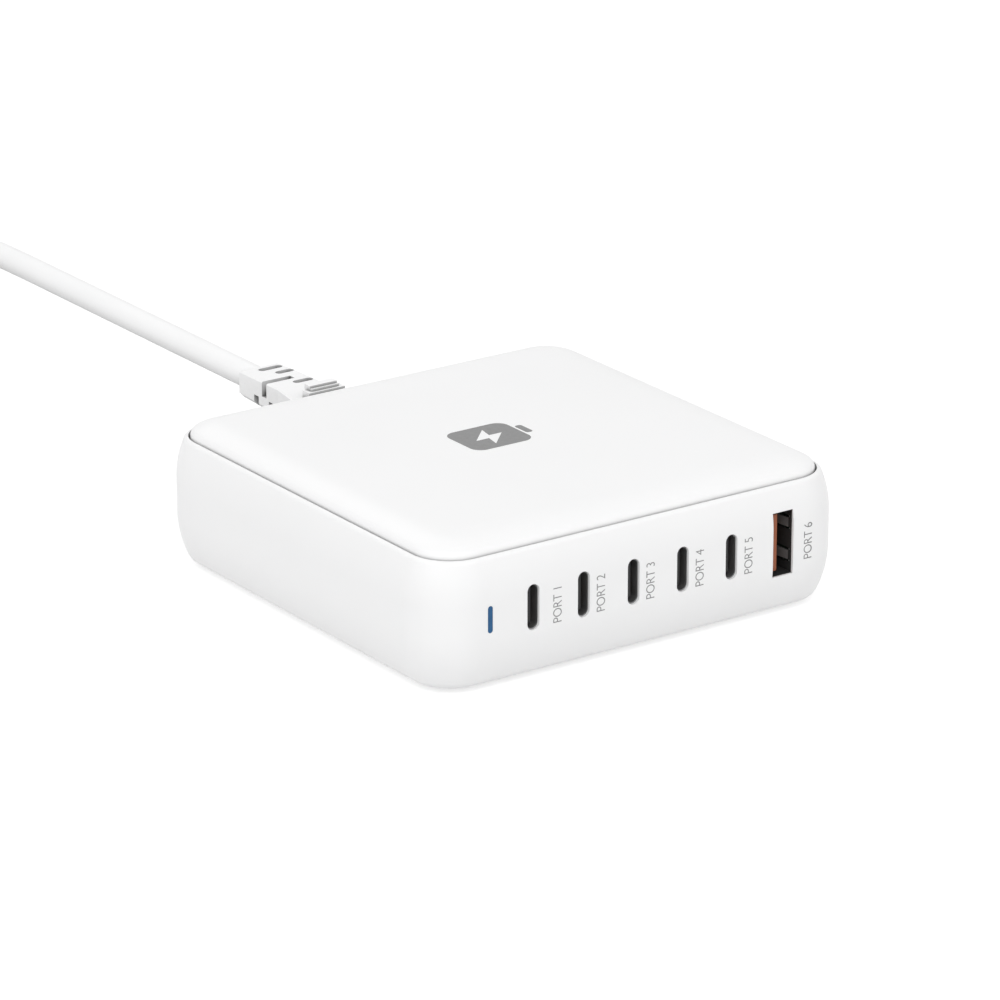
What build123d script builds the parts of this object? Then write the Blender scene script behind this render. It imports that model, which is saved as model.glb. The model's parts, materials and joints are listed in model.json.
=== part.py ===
from build123d import *
import os
from math import atan2, degrees, radians, tan

# Multi port desktop charger: a white square case with five USB-C ports and one USB-A port in its
# front wall, and a mains cord plugged into its rear wall. Millimetres, +Z up, ports facing -Y.
# The origin is on the table under the middle of the case.
os.makedirs("parts", exist_ok=True)

# Case: a square tub with soft edges and a lid let into its rim
body_size = 94.0
corner_radius = 10.4
body_height = 27.6
lid_crown = 2.7
wall = 2.2
floor_thickness = 2.0
lid_thickness = 2.2
base_round_width = 4.15
base_round_height = 10.1
base_tight_radius = 2.4
shoulder_height = 8.1
shoulder_tight_radius = 1.0
seam_inset = 2.6
seam_gap = 0.4
lid_flat_radius = 1.2
lid_tight_radius = 1.6
seat_depth = 1.8
seat_width = 1.6
lip_depth = 1.6
lip_thickness = 1.2
lip_relief = 1.2
lid_clearance = 0.15

# Rubber feet, let into the underside
foot_height = 0.8
foot_radius = 4.4
foot_recess = 0.6
foot_clearance = 0.15
foot_spacing = 66.0

# Ports, measured on the front wall
port_level = 13.9
port_lip = 0.6
pocket_clearance = 0.15
insert_clearance = 0.02
usb_c_count = 5
usb_c_pitch = 11.14
usb_c_row_offset = -3.3
usb_c_window_height = 8.8
usb_c_window_width = 2.65
usb_c_shell_height = 8.94
usb_c_shell_width = 3.16
usb_c_shell_length = 7.4
usb_c_base_length = 2.6
usb_c_tongue_height = 6.7
usb_c_tongue_thickness = 0.7
usb_c_contact_rows = 8
usb_c_contact_pitch = 0.75
usb_c_contact_width = 0.4
usb_c_contact_length = 3.2
usb_a_margin = 16.0
usb_a_window_height = 12.6
usb_a_window_width = 4.7
usb_a_shell_height = 13.1
usb_a_shell_width = 5.7
usb_a_shell_length = 14.0
usb_a_shell_corner = 0.5
usb_a_base_length = 4.4
usb_a_tongue_height = 11.1
usb_a_tongue_thickness = 1.8
usb_a_tongue_gap = 0.65
usb_a_tongue_chamfer = 0.36
usb_a_contact_count = 4
usb_a_contact_pitch = 2.3
usb_a_contact_width = 1.1
usb_a_contact_length = 6.4
usb_a_finger_spacing = 6.4
usb_a_finger_width = 1.8
usb_a_finger_slot = 0.5
usb_a_finger_length = 6.0
usb_a_finger_peak = 3.6
usb_a_finger_height = 0.45
shell_thickness = 0.3
tongue_setback = 0.9
contact_thickness = 0.1

# Status light
light_margin = 12.0
light_level = 13.6
light_height = 5.2
light_width = 1.08
light_clearance = 0.04
light_leg_depth = 4.6
light_leg_slope = 2.3
led_length = 1.6
led_width = 0.8
led_height = 0.7
led_gap = 0.2

# Boards and their screws
board_inset = 4.6
board_corner = 5.0
board_standoff = 3.4
board_thickness = 1.6
post_inset = 4.0
post_radius = 3.0
screw_radius = 1.0
screw_head_radius = 2.1
screw_head_height = 1.5
screw_reach = 2.6
screw_clearance = 0.05
port_board_thickness = 1.0
port_board_depth = 22.0
port_board_height = 13.2
port_board_gap = 0.8
inductor_size = 6.6
inductor_height = 4.0
inductor_gap = 2.0
inductor_chamfer = 0.6

# Power parts on the main board
part_gap = 0.8
side_gap = 1.6
output_can_radius = 3.5
output_can_height = 11.5
output_can_count = 6
output_can_pitch = 12.0
sink_thickness = 1.5
sink_foot = 3.0
sink_height = 13.0
bulk_radius = 6.5
bulk_length = 26.0
core_leg = 4.0
transformer_width = 28.0
pfc_width = 19.0
pfc_depth = 16.0
winding_overhang = 3.0
winding_clearance = 0.2
winding_round = 2.0
fuse_radius = 4.2
fuse_height = 8.0
fuse_chamfer = 0.5
x_capacitor_width = 18.0
x_capacitor_depth = 8.5
x_capacitor_height = 14.0
x_capacitor_chamfer = 0.7
choke_outer = 8.0
choke_inner = 4.6
choke_height = 6.6
choke_wire = 1.3
choke_split = 3.0
bridge_length = 20.0
bridge_thickness = 3.5
bridge_height = 13.0
bridge_lead_length = 2.4
bridge_lead_width = 1.0
bridge_lead_pitch = 5.0
bridge_lead_count = 4
bridge_chamfer = 1.2
rear_part_gap = 3.0

# Heat spreaders
spreader_thickness = 0.8
spreader_flange = 1.6
spreader_gap = 0.3
upper_spreader_margin = 5.0
upper_pad_thickness = 1.1
lower_spreader_width = 62.0
lower_spreader_length = 60.0
lower_pad_size = 40.0

# Two-pin mains inlet in the rear wall
inlet_level = 15.43
inlet_width = 17.4
inlet_height = 11.4
inlet_setback = 0.5
inlet_clearance = 0.1
inlet_back_wall = 2.0
inlet_flange_width = 24.0
inlet_flange_height = 10.0
inlet_flange_thickness = 1.6
recess_width = 14.1
recess_height = 8.1
recess_depth = 12.0
pin_radius = 1.2
pin_spacing = 8.6
pin_setback = 2.0
pin_tail = 1.2

# Moulded connector on the cord, with a slotted strain relief
nose_clearance = 0.2
connector_gap = 0.3
sleeve_wall = 0.5
sleeve_fit = 0.02
sleeve_margin = 0.4
connector_front_half_width = 8.6
connector_front_half_height = 4.4
connector_head_length = 10.9
connector_head_half_width = 7.0
connector_shoulder = (15.6, 6.1, 3.2)
relief_root = (22.3, 4.95, 3.15)
relief_waist = (31.0, 4.84, 3.0)
connector_length = 37.0
relief_end_half_width = 4.65
relief_end_half_height = 2.85
relief_top_bevel = 0.25
relief_base_bevel = 1.2
relief_slot_width = 1.7
relief_slot_depth = 1.1
relief_slots = ((34.9, 1.4, 5.4, 2.9), (31.4, 2.5, 4.1, 3.0), (24.3, 2.25, 4.5, 3.13))
wrap_slot_place = 27.45
wrap_slot_end = -1.8
wrap_slot_foot = 0.0
wrap_half_width = 4.88
wrap_half_height = 3.08
wrap_round = 1.2
side_slot_places = (30.4, 24.9)
side_slot_top = -0.4
grip_back = 15.3
grip_front = 12.1
grip_half_width = 3.2
grip_base_half_width = 4.2
grip_base_back = 14.5
grip_rise = 5.92
ridge_count = 3
ridge_run = 0.68
ridge_drop = 0.46

# Mains cord: level behind the case, then down to the table and into a coil
cord_diameter = 5.4
cord_clear_run = 104.0
bend_share = 0.45
cord_route = (
    (2.5, 222.0, 13.2),
    (12.5, 250.0, 7.4),
    (27.5, 274.0, 3.6),
    (39.2, 301.0, 2.7),
)
coil_y = 330.0
coil_outer_turn = 39.2
coil_inner_turn = 21.65
coil_layers = 2
coil_notch_clearance = 1.0
tie_width = 8.0
tie_thickness = 0.8
tie_pinch = 0.8
tail_route = ((-39.2, 313.0, 8.1), (-36.4, 295.0, 6.5))
tail_end = (-36.4, 278.0)

# Two-blade mains plug on the far end
plug_width = 21.0
plug_thickness = 13.0
plug_length = 21.0
plug_corner = 3.5
plug_shoulder = 8.0
plug_relief_length = 20.0
plug_relief_size = 9.2
plug_relief_tip = 7.2
plug_relief_bevel = 1.4
plug_groove_count = 4
plug_groove_width = 1.4
plug_groove_depth = 0.8
blade_width = 6.3
blade_thickness = 1.5
blade_length = 17.5
blade_spacing = 12.7
blade_hole_radius = 1.6
blade_hole_inset = 4.5
blade_chamfer = 1.4

# Levels and faces that follow from the sizes above
case_half = body_size / 2
seam_height = body_height - lid_crown
inner_half = case_half - wall
rim_inset = seam_inset - seam_gap / 2
lid_edge = seam_inset + seam_gap / 2
lid_round_width = corner_radius - lid_edge - lid_flat_radius
lid_flat_edge = lid_edge + lid_round_width
seat_height = seam_height - seat_depth
seat_edge = rim_inset + seat_width
seat_foot = seat_height - (seat_edge - wall)
lip_outer = seat_edge + lid_clearance
lip_inner = lip_outer + lip_thickness
base_inner = wall + base_round_width
inner_slope_top = base_round_height - floor_thickness
cut_through = 2 * wall
floor_top = foot_height + floor_thickness
lid_under = foot_height + body_height - lid_thickness
board_size = body_size - 2 * board_inset
board_under = floor_top + board_standoff
board_top = board_under + board_thickness
post_spacing = board_size - 2 * post_inset
cord_level = foot_height + inlet_level
cord_radius = cord_diameter / 2

# Port places on the front wall, as (x, height above the case's underside)
front_plane = Plane((0, -case_half, foot_height), x_dir=(1, 0, 0), z_dir=(0, -1, 0))
rear_plane = Plane((0, case_half, cord_level), x_dir=(-1, 0, 0), z_dir=(0, 1, 0))
usb_c_first = usb_c_row_offset - usb_c_pitch * (usb_c_count - 1) / 2
usb_c_places = [(usb_c_first + usb_c_pitch * i, port_level) for i in range(usb_c_count)]
usb_a_place = (case_half - usb_a_margin, port_level)
light_place = (-case_half + light_margin, light_level)


def save(piece, name):
    """Label a finished piece and write it as its own node."""
    piece.part.label = name
    export_step(piece.part, f"parts/{name}.step")


def outline(inset):
    """Sketch the case's plan outline, drawn in from its widest line."""
    side = body_size - 2 * inset
    return RectangleRounded(side, side, corner_radius - inset)


def soft_edge(width, height, tight):
    """A soft edge's wide radius, and the angle it turns before its tight arc takes over."""
    wide = (width**2 + height**2 - 2 * height * tight) / (2 * (width - tight))
    turn = degrees(atan2(height - tight, wide - width))
    return wide, turn


def upright_slot(height, width, mode=Mode.ADD):
    """Sketch an upright slot with round ends."""
    return SlotOverall(height, width, rotation=90, mode=mode)


# The path that the wall and lid sections follow; a section's x runs inward and its y upward
with BuildSketch(Plane.XY.offset(foot_height)) as widest:
    outline(0)
rim_path = widest.sketch.face().outer_wire()
path_start = rim_path % 0
section_plane = Plane(rim_path @ 0, x_dir=Vector(0, 0, 1).cross(path_start), z_dir=path_start)

# Housing: the wall section carries the soft base, the soft shoulder and the lid's seat
base_wide, base_turn = soft_edge(base_round_width, base_round_height, base_tight_radius)
shoulder_wide, shoulder_turn = soft_edge(rim_inset, shoulder_height, shoulder_tight_radius)
shoulder_base = seam_height - shoulder_height
with BuildPart() as housing:
    with BuildSketch(section_plane):
        with BuildLine():
            Polyline(
                (base_round_width, 0),
                (base_inner, 0),
                (base_inner, floor_thickness),
                (base_round_width, floor_thickness),
                (wall, inner_slope_top),
                (wall, seat_foot),
                (seat_edge, seat_height),
                (rim_inset, seat_height),
                (rim_inset, seam_height),
            )
            shoulder_centre = (rim_inset, seam_height - shoulder_tight_radius)
            CenterArc(shoulder_centre, shoulder_tight_radius, 90, 90 - shoulder_turn)
            CenterArc((shoulder_wide, shoulder_base), shoulder_wide, 180 - shoulder_turn, shoulder_turn)
            Line((0, shoulder_base), (0, base_round_height))
            CenterArc((base_wide, base_round_height), base_wide, 180, base_turn)
            base_centre = (base_round_width, base_tight_radius)
            CenterArc(base_centre, base_tight_radius, 180 + base_turn, 90 - base_turn)
        make_face()
    sweep(path=rim_path)
    with BuildSketch(Plane.XY.offset(foot_height)):
        outline(base_round_width)
    extrude(amount=floor_thickness)
    # Posts for the main board, with pilot holes for its screws
    with BuildSketch(Plane.XY.offset(floor_top)):
        with GridLocations(post_spacing, post_spacing, 2, 2):
            Circle(post_radius)
    extrude(amount=board_standoff)
    with BuildSketch(Plane.XY.offset(board_under)):
        with GridLocations(post_spacing, post_spacing, 2, 2):
            Circle(screw_radius)
    extrude(amount=-screw_reach, mode=Mode.SUBTRACT)
    # Foot recesses in the underside
    with BuildSketch(Plane.XY.offset(foot_height)):
        with GridLocations(foot_spacing, foot_spacing, 2, 2):
            Circle(foot_radius + foot_clearance)
    extrude(amount=foot_recess, mode=Mode.SUBTRACT)
    # Windows through the front wall, then the pockets that seat the receptacles behind its lip
    with BuildSketch(front_plane):
        with Locations(*usb_c_places):
            upright_slot(usb_c_window_height, usb_c_window_width)
        with Locations(usb_a_place):
            Rectangle(usb_a_window_width, usb_a_window_height)
        with Locations(light_place):
            upright_slot(light_height, light_width)
    extrude(amount=-cut_through, mode=Mode.SUBTRACT)
    with BuildSketch(front_plane.offset(-port_lip)):
        with Locations(*usb_c_places):
            Rectangle(usb_c_shell_width + 2 * pocket_clearance, usb_c_shell_height + 2 * pocket_clearance)
        with Locations(usb_a_place):
            Rectangle(usb_a_shell_width + 2 * pocket_clearance, usb_a_shell_height + 2 * pocket_clearance)
    extrude(amount=-cut_through, mode=Mode.SUBTRACT)
    # Opening for the mains inlet in the rear wall
    with BuildSketch(rear_plane):
        SlotOverall(inlet_width + 2 * inlet_clearance, inlet_height + 2 * inlet_clearance)
    extrude(amount=-cut_through, mode=Mode.SUBTRACT)
save(housing, "housing")

# Lid: a crowned plate whose edge sits in the tub's rebate, with a locating lip below
lid_wide, lid_turn = soft_edge(lid_crown, lid_round_width, lid_tight_radius)
lid_ceiling = body_height - lid_thickness
with BuildPart() as top_cover:
    with BuildSketch(section_plane):
        with BuildLine():
            Line((lid_edge, seat_height), (lid_edge, seam_height))
            CenterArc((lid_edge + lid_tight_radius, seam_height), lid_tight_radius, 180, lid_turn - 90)
            CenterArc((lid_flat_edge, body_height - lid_wide), lid_wide, 90 + lid_turn, -lid_turn)
            Polyline(
                (lid_flat_edge, body_height),
                (lid_flat_edge, lid_ceiling),
                (lip_inner, lid_ceiling),
                (lip_inner, seat_height - lip_depth),
                (lip_outer, seat_height - lip_depth),
                (lip_outer, seat_height),
                (lid_edge, seat_height),
            )
        make_face()
    sweep(path=rim_path)
    with BuildSketch(Plane.XY.offset(foot_height + body_height)):
        outline(lid_flat_edge)
    extrude(amount=-lid_thickness)
    # The lip is cut back over the tall receptacle and over the mains inlet
    with BuildSketch(Plane.XY.offset(foot_height)):
        with Locations((usb_a_place[0], -case_half)):
            Rectangle(usb_a_shell_width + 2 * lip_relief, 2 * lip_inner)
    extrude(amount=port_level + usb_a_shell_height / 2 + lip_relief, mode=Mode.SUBTRACT)
    with BuildSketch(Plane.XY.offset(foot_height)):
        with Locations((0, case_half)):
            Rectangle(inlet_width + 2 * lip_relief, 2 * lip_inner)
    extrude(amount=inlet_level + inlet_height / 2 + lip_relief, mode=Mode.SUBTRACT)
save(top_cover, "top_cover")

# Feet
foot_places = GridLocations(foot_spacing, foot_spacing, 2, 2).locations
for number, place in enumerate(foot_places, start=1):
    with BuildPart() as foot:
        with BuildSketch():
            with Locations(place):
                Circle(foot_radius)
        extrude(amount=foot_height + foot_recess)
    save(foot, f"foot_{number}")

# Main board on its posts
with BuildPart() as main_board:
    with BuildSketch(Plane.XY.offset(board_under)):
        RectangleRounded(board_size, board_size, board_corner)
        with GridLocations(post_spacing, post_spacing, 2, 2):
            Circle(screw_radius + screw_clearance, mode=Mode.SUBTRACT)
    extrude(amount=board_thickness)
save(main_board, "main_board")

with BuildPart() as board_screws:
    with BuildSketch(Plane.XY.offset(board_top)):
        with GridLocations(post_spacing, post_spacing, 2, 2):
            Circle(screw_head_radius)
    extrude(amount=screw_head_height)
    with BuildSketch(Plane.XY.offset(board_top)):
        with GridLocations(post_spacing, post_spacing, 2, 2):
            Circle(screw_radius - screw_clearance)
    extrude(amount=-(board_thickness + screw_reach - screw_clearance))
save(board_screws, "board_screws")

# USB-C receptacles: a drawn steel shell and a moulded insert with a contact tongue
usb_c_back = front_plane.offset(-(port_lip + usb_c_shell_length))
usb_c_bore_height = usb_c_shell_height - 2 * shell_thickness
usb_c_bore_width = usb_c_shell_width - 2 * shell_thickness
usb_c_insert_height = usb_c_bore_height - 2 * insert_clearance
usb_c_insert_width = usb_c_bore_width - 2 * insert_clearance
for number, place in enumerate(usb_c_places, start=1):
    with BuildPart() as usb_c_shell:
        with BuildSketch(front_plane.offset(-port_lip)):
            with Locations(place):
                upright_slot(usb_c_shell_height, usb_c_shell_width)
                upright_slot(usb_c_bore_height, usb_c_bore_width, mode=Mode.SUBTRACT)
        extrude(amount=-usb_c_shell_length)
    save(usb_c_shell, f"usb_c_shell_{number}")

    with BuildPart() as usb_c_tongue:
        with BuildSketch(usb_c_back):
            with Locations(place):
                upright_slot(usb_c_insert_height, usb_c_insert_width)
        extrude(amount=usb_c_base_length)
        with BuildSketch(usb_c_back):
            with Locations(place):
                Rectangle(usb_c_tongue_thickness, usb_c_tongue_height)
        extrude(amount=usb_c_shell_length - tongue_setback)
    save(usb_c_tongue, f"usb_c_tongue_{number}")

with BuildPart() as usb_c_contacts:
    contact_side = (usb_c_tongue_thickness + contact_thickness) / 2
    with BuildSketch(usb_c_back.offset(usb_c_base_length)):
        for x, level in usb_c_places:
            for side in (x - contact_side, x + contact_side):
                with Locations((side, level)):
                    with GridLocations(1, usb_c_contact_pitch, 1, usb_c_contact_rows):
                        Rectangle(contact_thickness, usb_c_contact_width)
    extrude(amount=usb_c_contact_length)
save(usb_c_contacts, "usb_c_contacts")

# USB-A receptacle: its contact tongue lies towards the USB-C ports, its springs opposite
usb_a_x = usb_a_place[0]
usb_a_front = -case_half + port_lip
usb_a_bore_height = usb_a_shell_height - 2 * shell_thickness
usb_a_bore_width = usb_a_shell_width - 2 * shell_thickness
usb_a_back = front_plane.offset(-(port_lip + usb_a_shell_length))
with BuildPart() as usb_a_shell:
    with BuildSketch(front_plane.offset(-port_lip)):
        with Locations(usb_a_place):
            RectangleRounded(usb_a_shell_width, usb_a_shell_height, usb_a_shell_corner)
            Rectangle(usb_a_bore_width, usb_a_bore_height, mode=Mode.SUBTRACT)
    extrude(amount=-usb_a_shell_length)
    spring_wall = usb_a_x + usb_a_bore_width / 2
    spring_front = usb_a_front + tongue_setback
    for level in (-usb_a_finger_spacing / 2, usb_a_finger_spacing / 2):
        with BuildSketch(Plane.XY.offset(foot_height + port_level + level)):
            with BuildLine():
                Polyline(
                    (spring_wall, spring_front),
                    (spring_wall - usb_a_finger_height, spring_front + usb_a_finger_peak),
                    (spring_wall, spring_front + usb_a_finger_length),
                    close=True,
                )
            make_face()
        extrude(amount=usb_a_finger_width / 2, both=True)
        # Punched slots that free the finger from the wall on both sides
        for side in (-1, 1):
            slot_level = level + side * (usb_a_finger_width + usb_a_finger_slot) / 2
            with BuildSketch(Plane.XY.offset(foot_height + port_level + slot_level)):
                with Locations((spring_wall, spring_front)):
                    Rectangle(2 * shell_thickness, usb_a_finger_length, align=(Align.CENTER, Align.MIN))
            extrude(amount=usb_a_finger_slot / 2, both=True, mode=Mode.SUBTRACT)
save(usb_a_shell, "usb_a_shell")

usb_a_tongue_x = usb_a_x - usb_a_bore_width / 2 + usb_a_tongue_gap + usb_a_tongue_thickness / 2
with BuildPart() as usb_a_tongue:
    with BuildSketch(usb_a_back):
        with Locations(usb_a_place):
            Rectangle(usb_a_bore_width - 2 * insert_clearance, usb_a_bore_height - 2 * insert_clearance)
    extrude(amount=usb_a_base_length)
    with BuildSketch(usb_a_back):
        with Locations((usb_a_tongue_x, port_level)):
            Rectangle(usb_a_tongue_thickness, usb_a_tongue_height)
    extrude(amount=usb_a_shell_length - tongue_setback)
    tip = usb_a_tongue.faces().sort_by(Axis.Y)[0]
    chamfer(tip.edges().filter_by(Axis.Z), usb_a_tongue_chamfer)
save(usb_a_tongue, "usb_a_tongue")

with BuildPart() as usb_a_contacts:
    contact_x = usb_a_tongue_x + (usb_a_tongue_thickness + contact_thickness) / 2
    with BuildSketch(usb_a_back.offset(usb_a_base_length)):
        with Locations((contact_x, port_level)):
            with GridLocations(1, usb_a_contact_pitch, 1, usb_a_contact_count):
                Rectangle(contact_thickness, usb_a_contact_width)
    extrude(amount=usb_a_contact_length)
save(usb_a_contacts, "usb_a_contacts")

# Port boards: one upright board beside each receptacle, standing on the main board
port_sizes = [(x, usb_c_shell_width, usb_c_shell_length) for x, level in usb_c_places]
port_sizes.append((usb_a_x, usb_a_shell_width, usb_a_shell_length))
port_board_front = -inner_half + port_board_gap
port_board_back = port_board_front + port_board_depth
port_board_middle = (port_board_front + port_board_back) / 2
for number, (x, width, length) in enumerate(port_sizes, start=1):
    with BuildPart() as port_board:
        with BuildSketch(Plane.XY.offset(board_top)):
            with Locations((x + width / 2 + port_board_thickness / 2, port_board_middle)):
                Rectangle(port_board_thickness, port_board_depth)
        extrude(amount=port_board_height)
    save(port_board, f"port_board_{number}")

# Output inductors, one on each port board behind its receptacle
with BuildPart() as buck_inductors:
    for x, width, length in port_sizes:
        inductor_y = -case_half + port_lip + length + inductor_gap + inductor_size / 2
        with BuildSketch(Plane.YZ.offset(x + width / 2)) as block:
            with Locations((inductor_y, foot_height + port_level)):
                Rectangle(inductor_size, inductor_size)
            chamfer(block.vertices(), inductor_chamfer)
        extrude(amount=-inductor_height)
save(buck_inductors, "buck_inductors")

# Status light: a clear pipe from the bar in the front wall down to a light on the main board
light_x = light_place[0]
light_leg_front = -inner_half + port_board_gap
light_leg_back = light_leg_front + light_leg_depth
led_y = light_leg_back - led_length
with BuildPart() as status_light_pipe:
    with BuildSketch(front_plane):
        with Locations(light_place):
            upright_slot(light_height - 2 * light_clearance, light_width - 2 * light_clearance)
    extrude(amount=-(case_half + light_leg_front))
    leg_foot = board_top + led_height + led_gap
    leg_top = foot_height + light_level + light_height / 2
    with BuildSketch(Plane.YZ.offset(light_x)):
        with BuildLine():
            Polyline(
                (light_leg_front, leg_top - light_height),
                (light_leg_front, leg_top),
                (light_leg_front + led_length, leg_top),
                (light_leg_back, leg_top - light_leg_slope),
                (light_leg_back, leg_foot),
                (led_y - led_length, leg_foot),
                (led_y - led_length, leg_top - light_height),
                close=True,
            )
        make_face()
    extrude(amount=light_width / 2, both=True)
save(status_light_pipe, "status_light_pipe")

with BuildPart() as status_led:
    with BuildSketch(Plane.XY.offset(board_top)):
        with Locations((light_x, led_y)):
            Rectangle(led_width, led_length)
    extrude(amount=led_height)
save(status_led, "status_led")

# Output capacitors: a row of cans behind the port boards
output_row = port_board_back + part_gap + output_can_radius
with BuildPart() as output_capacitors:
    with BuildSketch(Plane.XY.offset(board_top)):
        with Locations((0, output_row)):
            with GridLocations(output_can_pitch, 1, output_can_count, 1):
                Circle(output_can_radius)
    extrude(amount=output_can_height)
save(output_capacitors, "output_capacitors")

# Places of the large parts, from the port boards backward and from the side walls inward
rear_line = inner_half - rear_part_gap
choke_reach = choke_outer + choke_wire
choke_front = rear_line - 2 * choke_reach
sink_front = output_row + output_can_radius + part_gap
magnetics_front = sink_front + sink_thickness + part_gap + winding_overhang
rear_sink_front = choke_front - part_gap - sink_foot
transformer_depth = rear_sink_front - part_gap - winding_overhang - magnetics_front
magnetics_y = magnetics_front + transformer_depth / 2
upper_spreader_under = lid_under - spreader_gap - spreader_thickness
core_height = upper_spreader_under - upper_pad_thickness - board_top
bulk_first_x = -inner_half + side_gap + bulk_radius
bulk_second_x = bulk_first_x + 2 * bulk_radius + part_gap
pfc_x = case_half - lip_inner - part_gap - pfc_width / 2
transformer_x = (bulk_second_x + bulk_radius + pfc_x - pfc_width / 2) / 2

# Bulk capacitors, lying on the board
for number, x in enumerate((bulk_first_x, bulk_second_x), start=1):
    with BuildPart() as bulk_capacitor:
        with BuildSketch(Plane.XZ.offset(-magnetics_y)):
            with Locations((x, board_top + bulk_radius)):
                Circle(bulk_radius)
        extrude(amount=bulk_length / 2, both=True)
    save(bulk_capacitor, f"bulk_capacitor_{number}")


def wound_core(name, x, width, depth):
    """A closed pair of E cores, and the wound bobbin that fills their windows."""
    window_height = core_height - core_leg
    window_width = width / 2 - core_leg
    middle_z = board_top + core_height / 2
    with BuildPart() as core:
        with BuildSketch(Plane.XZ.offset(-magnetics_y)):
            with Locations((x, middle_z)):
                Rectangle(width, core_height)
                with GridLocations(width / 2, 1, 2, 1):
                    Rectangle(window_width, window_height, mode=Mode.SUBTRACT)
        extrude(amount=depth / 2, both=True)
    save(core, f"{name}_core")
    with BuildPart() as winding:
        wound_width = width / 2 + window_width - 2 * winding_clearance
        wound_depth = depth + 2 * winding_overhang
        leg_width = width / 2 - window_width + 2 * winding_clearance
        with BuildSketch(Plane.XY.offset(middle_z)):
            with Locations((x, magnetics_y)):
                RectangleRounded(wound_width, wound_depth, winding_round)
                Rectangle(leg_width, depth + 2 * winding_clearance, mode=Mode.SUBTRACT)
        extrude(amount=window_height / 2 - winding_clearance, both=True)
    save(winding, f"{name}_winding")


wound_core("transformer", transformer_x, transformer_width, transformer_depth)
wound_core("pfc", pfc_x, pfc_width, pfc_depth)


def heat_sink(name, front):
    """An upright aluminium angle across the transformer, standing on its foot."""
    with BuildPart() as sink:
        with BuildSketch(Plane.YZ.offset(transformer_x)):
            with BuildLine():
                Polyline(
                    (front, board_top),
                    (front + sink_foot, board_top),
                    (front + sink_foot, board_top + sink_thickness),
                    (front + sink_thickness, board_top + sink_thickness),
                    (front + sink_thickness, board_top + sink_height),
                    (front, board_top + sink_height),
                    close=True,
                )
            make_face()
        extrude(amount=transformer_width / 2, both=True)
    save(sink, name)


heat_sink("secondary_heat_sink", sink_front)
heat_sink("primary_heat_sink", rear_sink_front)

# Mains input parts, either side of the inlet and clear of the rear wall
fuse_x = -(inlet_flange_width / 2 + part_gap + fuse_radius)
with BuildPart() as fuse:
    with BuildSketch(Plane.XY.offset(board_top)):
        with Locations((fuse_x, rear_line - fuse_radius)):
            Circle(fuse_radius)
    extrude(amount=fuse_height)
    chamfer(fuse.edges().group_by(Axis.Z)[-1], fuse_chamfer)
save(fuse, "fuse")

with BuildPart() as x_capacitor:
    capacitor_x = fuse_x - fuse_radius - part_gap - x_capacitor_width / 2
    capacitor_y = rear_line - 2 * screw_head_radius - post_inset - x_capacitor_depth / 2
    with BuildSketch(Plane.XY.offset(board_top)):
        with Locations((capacitor_x, capacitor_y)):
            Rectangle(x_capacitor_width, x_capacitor_depth)
    extrude(amount=x_capacitor_height)
    capacitor_top = x_capacitor.faces().sort_by(Axis.Z)[-1]
    chamfer(x_capacitor.edges().filter_by(Axis.Z) + capacitor_top.edges(), x_capacitor_chamfer)
save(x_capacitor, "x_capacitor")

choke_x = inlet_flange_width / 2 + part_gap + choke_reach
choke_y = rear_line - choke_reach
with BuildPart() as choke_core:
    with BuildSketch(Plane.XY.offset(board_top + choke_wire)):
        with Locations((choke_x, choke_y)):
            Circle(choke_outer)
            Circle(choke_inner, mode=Mode.SUBTRACT)
    extrude(amount=choke_height)
save(choke_core, "choke_core")

with BuildPart() as choke_windings:
    with BuildSketch(Plane.XY.offset(board_top)):
        with Locations((choke_x, choke_y)):
            Circle(choke_reach)
            Circle(choke_inner - choke_wire, mode=Mode.SUBTRACT)
            Rectangle(2 * choke_reach, choke_split, mode=Mode.SUBTRACT)
    extrude(amount=choke_height + 2 * choke_wire)
    with BuildSketch(Plane.XY.offset(board_top + choke_wire)):
        with Locations((choke_x, choke_y)):
            Circle(choke_outer)
            Circle(choke_inner, mode=Mode.SUBTRACT)
    extrude(amount=choke_height, mode=Mode.SUBTRACT)
save(choke_windings, "choke_windings")

with BuildPart() as bridge_rectifier:
    bridge_x = choke_x + choke_reach + part_gap + bridge_thickness / 2
    bridge_y = choke_y - choke_wire
    with BuildSketch(Plane.YZ.offset(bridge_x)):
        with Locations((bridge_y, board_top + bridge_lead_length + bridge_height / 2)):
            Rectangle(bridge_length, bridge_height)
    extrude(amount=bridge_thickness / 2, both=True)
    top_edges = bridge_rectifier.edges().filter_by(Axis.X).group_by(Axis.Z)[-1]
    chamfer(top_edges.sort_by(Axis.Y)[-1], bridge_chamfer)
    with BuildSketch(Plane.XY.offset(board_top)):
        with Locations((bridge_x, bridge_y)):
            with GridLocations(1, bridge_lead_pitch, 1, bridge_lead_count):
                Rectangle(bridge_lead_width, bridge_lead_width)
    extrude(amount=bridge_lead_length)
save(bridge_rectifier, "bridge_rectifier")

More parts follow.
